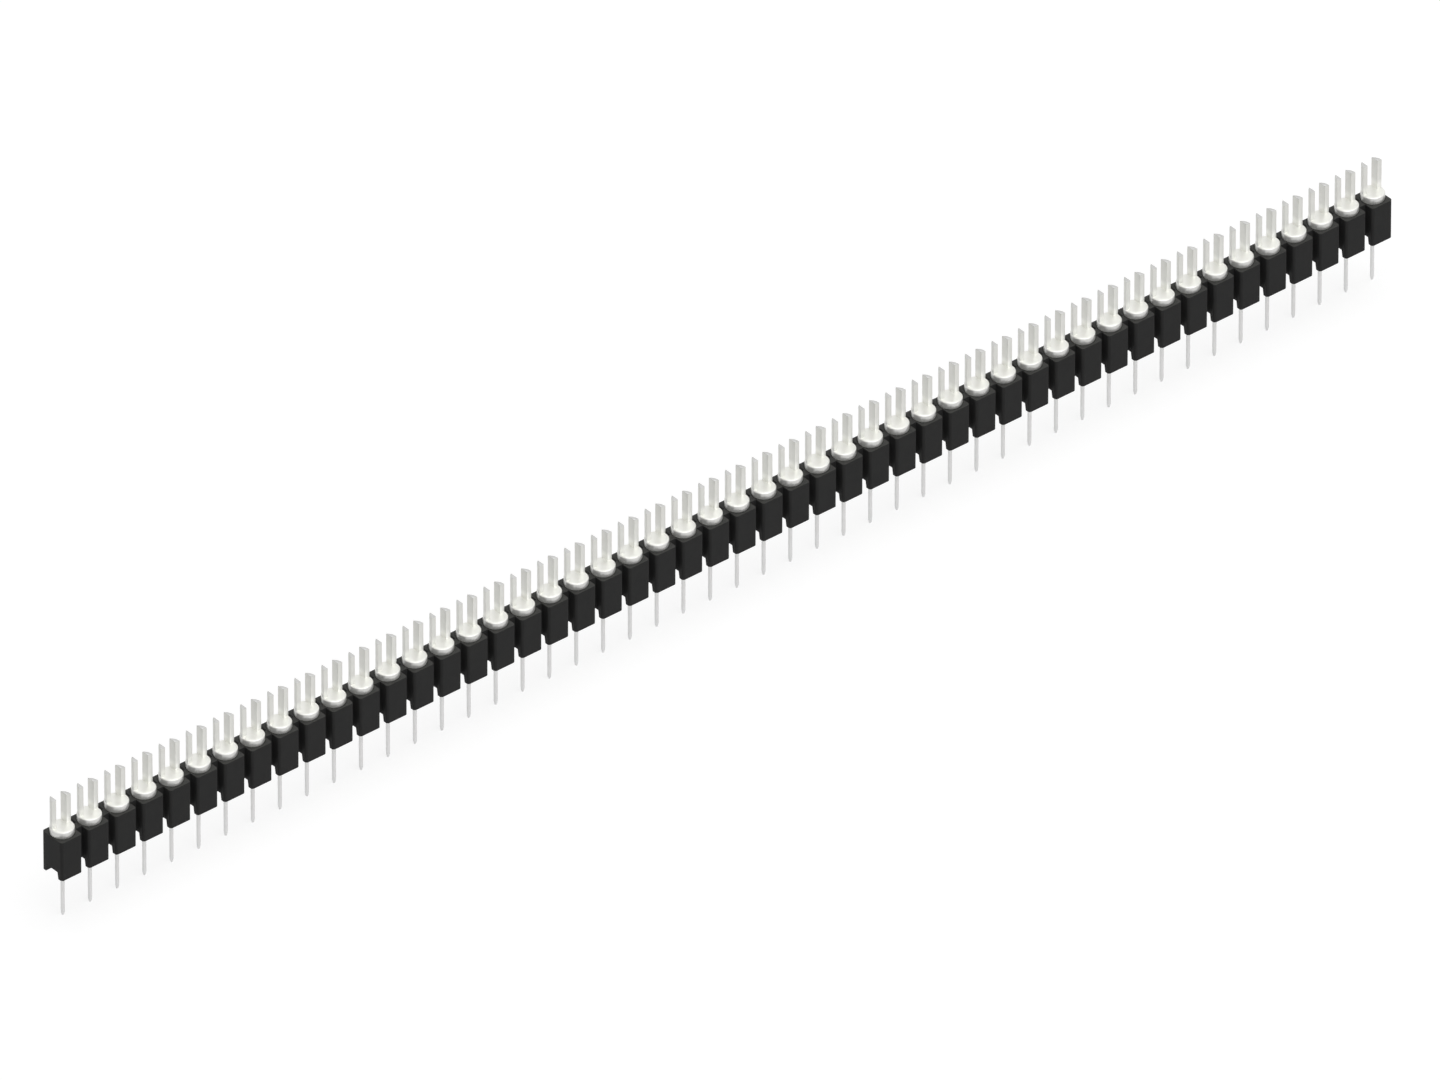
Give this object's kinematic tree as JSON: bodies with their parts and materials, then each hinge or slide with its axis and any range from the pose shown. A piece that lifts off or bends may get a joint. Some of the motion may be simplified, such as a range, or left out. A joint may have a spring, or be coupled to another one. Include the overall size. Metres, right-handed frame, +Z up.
{
  "type": "pin header strip",
  "caption": "Single-row break-away header strip: turned pins in a black insulator, with thin tails below and slotted solder forks on top.",
  "frame": {"origin": "on the first pin's axis, in the plane that the insulator's feet stand on", "axes": "+X along the row towards the last pin, +Y to the back, away from the forks' flat fronts, +Z up from the tails to the forks"},
  "size_m": [0.1264, 0.0022, 0.0103],
  "materials": {
    "insulator": "moulded black thermoplastic, satin",
    "pins": "turned brass, tin plated, bright satin"
  },
  "bodies": {
    "root": {"insulator": "insulator", "pin_01": "pins", "pin_02": "pins", "pin_03": "pins", "pin_04": "pins", "pin_05": "pins", "pin_06": "pins", "pin_07": "pins", "pin_08": "pins", "pin_09": "pins", "pin_10": "pins", "pin_11": "pins", "pin_12": "pins", "pin_13": "pins", "pin_14": "pins", "pin_15": "pins", "pin_16": "pins", "pin_17": "pins", "pin_18": "pins", "pin_19": "pins", "pin_20": "pins", "pin_21": "pins", "pin_22": "pins", "pin_23": "pins", "pin_24": "pins", "pin_25": "pins", "pin_26": "pins", "pin_27": "pins", "pin_28": "pins", "pin_29": "pins", "pin_30": "pins", "pin_31": "pins", "pin_32": "pins", "pin_33": "pins", "pin_34": "pins", "pin_35": "pins", "pin_36": "pins", "pin_37": "pins", "pin_38": "pins", "pin_39": "pins", "pin_40": "pins", "pin_41": "pins", "pin_42": "pins", "pin_43": "pins", "pin_44": "pins", "pin_45": "pins", "pin_46": "pins", "pin_47": "pins", "pin_48": "pins", "pin_49": "pins", "pin_50": "pins"}
  },
  "joints": []
}
